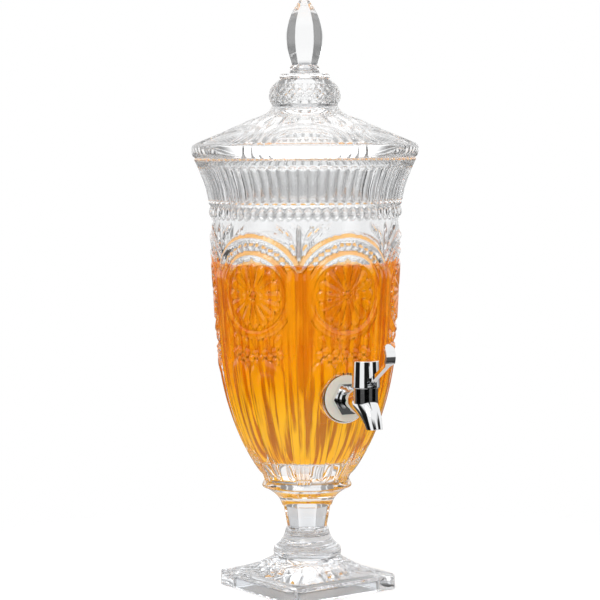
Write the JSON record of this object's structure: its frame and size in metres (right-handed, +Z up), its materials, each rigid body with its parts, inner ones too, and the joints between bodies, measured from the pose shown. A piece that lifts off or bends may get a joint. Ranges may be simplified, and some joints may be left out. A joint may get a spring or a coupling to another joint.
{
  "type": "glass beverage dispenser",
  "caption": "Tall pressed-glass beverage dispenser: footed bowl with arch and medallion relief, lift-off lid with faceted finial, and a chromed self-closing lever tap.",
  "frame": {"origin": "middle of the plinth's underside, on the axis of the bowl, where the dispenser stands", "axes": "+Z up along the bowl's axis, -Y towards the tap, +X to the right of someone facing the tap"},
  "size_m": [0.2004, 0.2589, 0.527],
  "materials": {
    "clear_glass": "clear pressed glass",
    "chrome": "bright chrome plate",
    "silicone": "translucent silicone",
    "steel": "drawn stainless steel",
    "white_plastic": "moulded white plastic"
  },
  "bodies": {
    "dispenser": {"pedestal": "clear_glass", "bowl_base": "clear_glass", "bowl": "clear_glass", "outer_washer": "silicone", "inner_washer": "silicone", "lock_nut": "white_plastic", "tap_body": "chrome", "tap_cap": "chrome", "lever_pin": "steel", "stem_gland": "white_plastic", "stem_seal": "silicone", "closing_spring": "steel"},
    "lid": {"lid": "clear_glass", "finial": "clear_glass"},
    "lever": {"lever": "chrome"},
    "valve": {"valve_stem": "white_plastic", "stopper": "silicone"}
  },
  "joints": [
    {"name": "lid_lift", "type": "slide", "parent": "dispenser", "child": "lid", "axis": [0, 0, 1], "range_m": [0, 0.12]},
    {"name": "lever_press", "type": "hinge", "parent": "dispenser", "child": "lever", "pos_m": [0, -0.11964, 0.1938], "axis": [1, 0, 0], "range_deg": [0, 30], "stiffness_Nm_per_rad": 0.05, "springref_deg": -28.65},
    {"name": "stopper_lift", "type": "slide", "parent": "dispenser", "child": "valve", "axis": [0, 0, 1], "range_m": [0, 0.00315], "deforming": ["closing_spring"]}
  ],
  "couplings": [
    {"joint": "stopper_lift", "follows": "lever_press", "m_per_rad": 0.006}
  ]
}
